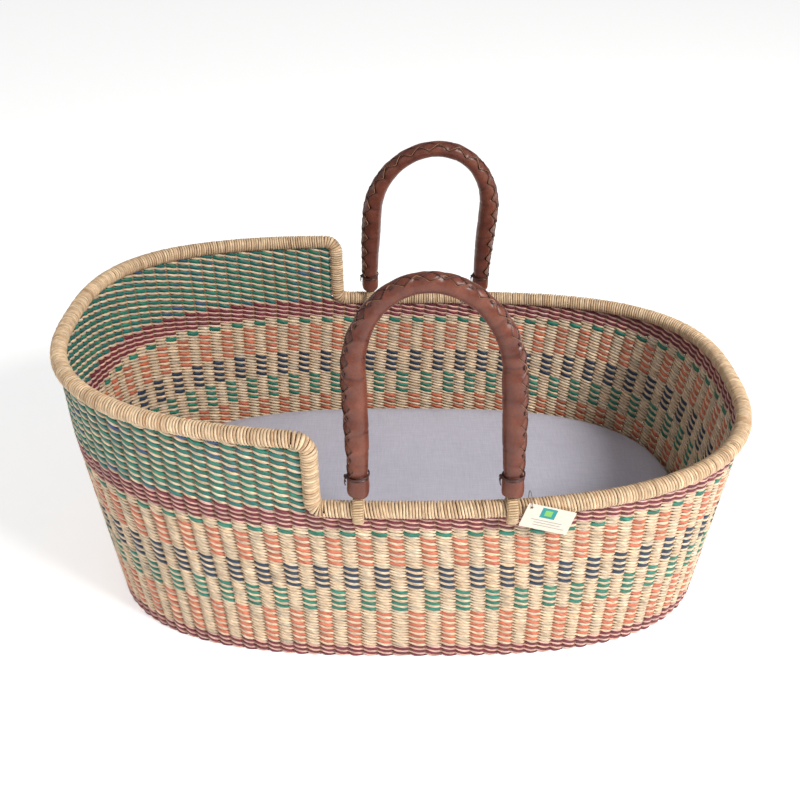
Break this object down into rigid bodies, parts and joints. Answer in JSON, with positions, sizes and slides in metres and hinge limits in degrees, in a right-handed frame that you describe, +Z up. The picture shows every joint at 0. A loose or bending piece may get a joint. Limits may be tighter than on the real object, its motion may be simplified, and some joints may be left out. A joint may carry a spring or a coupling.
{
  "type": "woven baby basket",
  "caption": "Oval woven grass baby basket with a raised head end, two folding leather-covered carry handles, a sheeted mattress and a swing tag.",
  "frame": {"origin": "on the ground under the middle of the basket's bounding box", "axes": "+X from the head end to the foot end, +Y towards the back handle, +Z up"},
  "size_m": [0.8614, 0.522, 0.5197],
  "materials": {
    "natural_grass": "twined natural elephant grass",
    "maroon_grass": "twined maroon and natural grass",
    "orange_grass": "twined orange and natural grass",
    "green_grass": "twined green and natural grass",
    "navy_grass": "twined navy and natural grass",
    "teal_grass": "twined blue-green and natural grass",
    "core_grass": "bundled dry grass",
    "straw": "glossy straw wrapping",
    "cream_grass": "fine cream grass binding",
    "leather": "smooth brown goat leather, lightly creased",
    "thong": "thin dark leather thong",
    "foam": "covered foam",
    "sheet_cotton": "plain woven lilac-grey cotton",
    "elastic": "braided elastic",
    "card": "smooth cream card",
    "string": "thin stiff thread"
  },
  "bodies": {
    "basket": {"woven_floor": "natural_grass", "weave_base_edge": "maroon_grass", "weave_lower_orange": "orange_grass", "weave_green": "green_grass", "weave_navy": "navy_grass", "weave_upper_orange": "orange_grass", "weave_dash_row": "natural_grass", "weave_maroon": "maroon_grass", "weave_head_panel": "teal_grass", "rim_core": "core_grass", "rim_wrap_foot": "straw", "rim_wrap_head": "straw", "rim_wrap_back_step": "straw", "rim_wrap_front_step": "straw", "tag_string": "string"},
    "front_handle": {"front_handle_leather_sleeve": "leather", "front_handle_seam_lace": "thong", "front_handle_core": "core_grass", "front_handle_head_side_collar": "leather", "front_handle_head_side_tie": "thong", "front_handle_head_side_lug": "cream_grass", "front_handle_foot_side_collar": "leather", "front_handle_foot_side_tie": "thong", "front_handle_foot_side_lug": "cream_grass"},
    "back_handle": {"back_handle_leather_sleeve": "leather", "back_handle_seam_lace": "thong", "back_handle_core": "core_grass", "back_handle_head_side_collar": "leather", "back_handle_head_side_tie": "thong", "back_handle_head_side_lug": "cream_grass", "back_handle_foot_side_collar": "leather", "back_handle_foot_side_tie": "thong", "back_handle_foot_side_lug": "cream_grass"},
    "mattress": {"mattress_pad": "foam", "fitted_sheet": "sheet_cotton", "sheet_hem_elastic": "elastic"},
    "tag": {"swing_tag": "card"}
  },
  "joints": [
    {"name": "front_handle_swing", "type": "hinge", "parent": "basket", "child": "front_handle", "pos_m": [0.02855, -0.2446, 0.2485], "axis": [1, 0, 0], "range_deg": [-52, 126]},
    {"name": "back_handle_swing", "type": "hinge", "parent": "basket", "child": "back_handle", "pos_m": [0.02855, 0.2446, 0.2485], "axis": [-1, 0, 0], "range_deg": [-52, 126]},
    {"name": "mattress_lift", "type": "slide", "parent": "basket", "child": "mattress", "axis": [0, 0, 1], "range_m": [0, 0.165]},
    {"name": "tag_swing", "type": "hinge", "parent": "basket", "child": "tag", "pos_m": [0.1318, -0.25495, 0.259], "axis": [-0.0872, 0.9962, 0], "range_deg": [-20, 4]}
  ]
}
